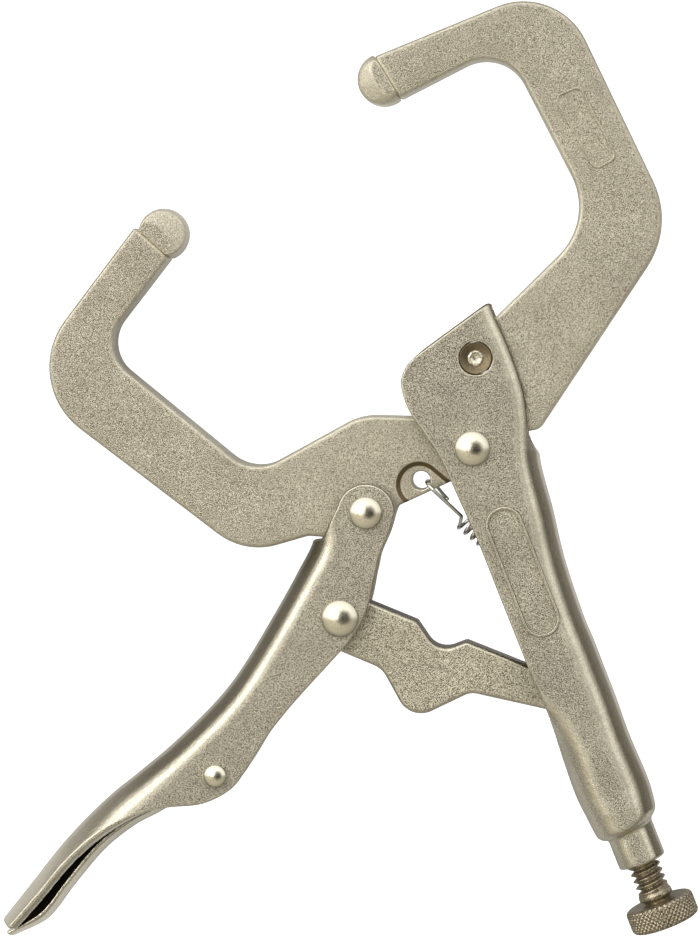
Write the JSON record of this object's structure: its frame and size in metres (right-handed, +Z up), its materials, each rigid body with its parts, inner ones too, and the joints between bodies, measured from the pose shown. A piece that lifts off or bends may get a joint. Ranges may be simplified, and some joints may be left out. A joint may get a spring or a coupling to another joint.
{
  "type": "locking pliers",
  "caption": "Locking pliers with two forged C-shaped jaws, folded sheet handles, toggle link, release lever, return spring and knurled adjusting screw.",
  "frame": {"origin": "on the main pivot's axis, where the flat of its lower rivet head rests", "axes": "+Z up through the pivots, out of the tool's flat side; +Y along the tool towards the fixed jaw's crown"},
  "size_m": [0.1148, 0.1536, 0.0144],
  "materials": {
    "sheet_nickel": "nickel plate over a fine blasted grain, satin",
    "forged_nickel": "nickel plate over a blasted forging, satin",
    "link_nickel": "nickel plate over a blasted stamping, satin",
    "lever_nickel": "smooth nickel plate, satin",
    "rivet_bright": "polished nickel",
    "dark_pin": "dark turned steel",
    "screw_steel": "nickel plated, cut thread and diamond knurl",
    "spring_wire": "drawn spring wire"
  },
  "bodies": {
    "fixed_handle": {"fixed_handle": "sheet_nickel", "fixed_jaw": "forged_nickel", "fixed_jaw_pin": "dark_pin", "main_pivot_rivet": "rivet_bright", "return_spring": "spring_wire"},
    "moving_jaw": {"moving_jaw": "forged_nickel", "handle_pivot_rivet": "rivet_bright"},
    "lower_handle": {"lower_handle": "sheet_nickel", "toggle_rivet": "rivet_bright", "lever_rivet": "rivet_bright"},
    "toggle_link": {"toggle_link": "link_nickel"},
    "release_lever": {"release_lever": "lever_nickel"},
    "adjusting_screw": {"adjusting_screw": "screw_steel"}
  },
  "joints": [
    {"name": "jaw_hinge", "type": "hinge", "parent": "fixed_handle", "child": "moving_jaw", "pos_m": [0, 0, 0.0072], "axis": [0, 0, 1], "range_deg": [-33, 0], "stiffness_Nm_per_rad": 0.1, "springref_deg": 20.05, "deforming": ["return_spring"]},
    {"name": "handle_hinge", "type": "hinge", "parent": "moving_jaw", "child": "lower_handle", "pos_m": [-0.0173, -0.0105, 0.0072], "axis": [0, 0, 1], "range_deg": [0, 61.1]},
    {"name": "link_hinge", "type": "hinge", "parent": "lower_handle", "child": "toggle_link", "pos_m": [-0.0215, -0.0277, 0.0072], "axis": [0, 0, 1], "range_deg": [-44.9, 0]},
    {"name": "lever_hinge", "type": "hinge", "parent": "lower_handle", "child": "release_lever", "pos_m": [-0.0419, -0.0536, 0.0072], "axis": [0, 0, 1], "range_deg": [0, 7]},
    {"name": "screw_travel", "type": "slide", "parent": "fixed_handle", "child": "adjusting_screw", "axis": [0.3679, -0.9298, 0], "range_m": [0, 0.014]}
  ],
  "couplings": [
    {"joint": "handle_hinge", "follows": "jaw_hinge", "ratio": -1.85},
    {"joint": "link_hinge", "follows": "jaw_hinge", "ratio": 1.36}
  ]
}
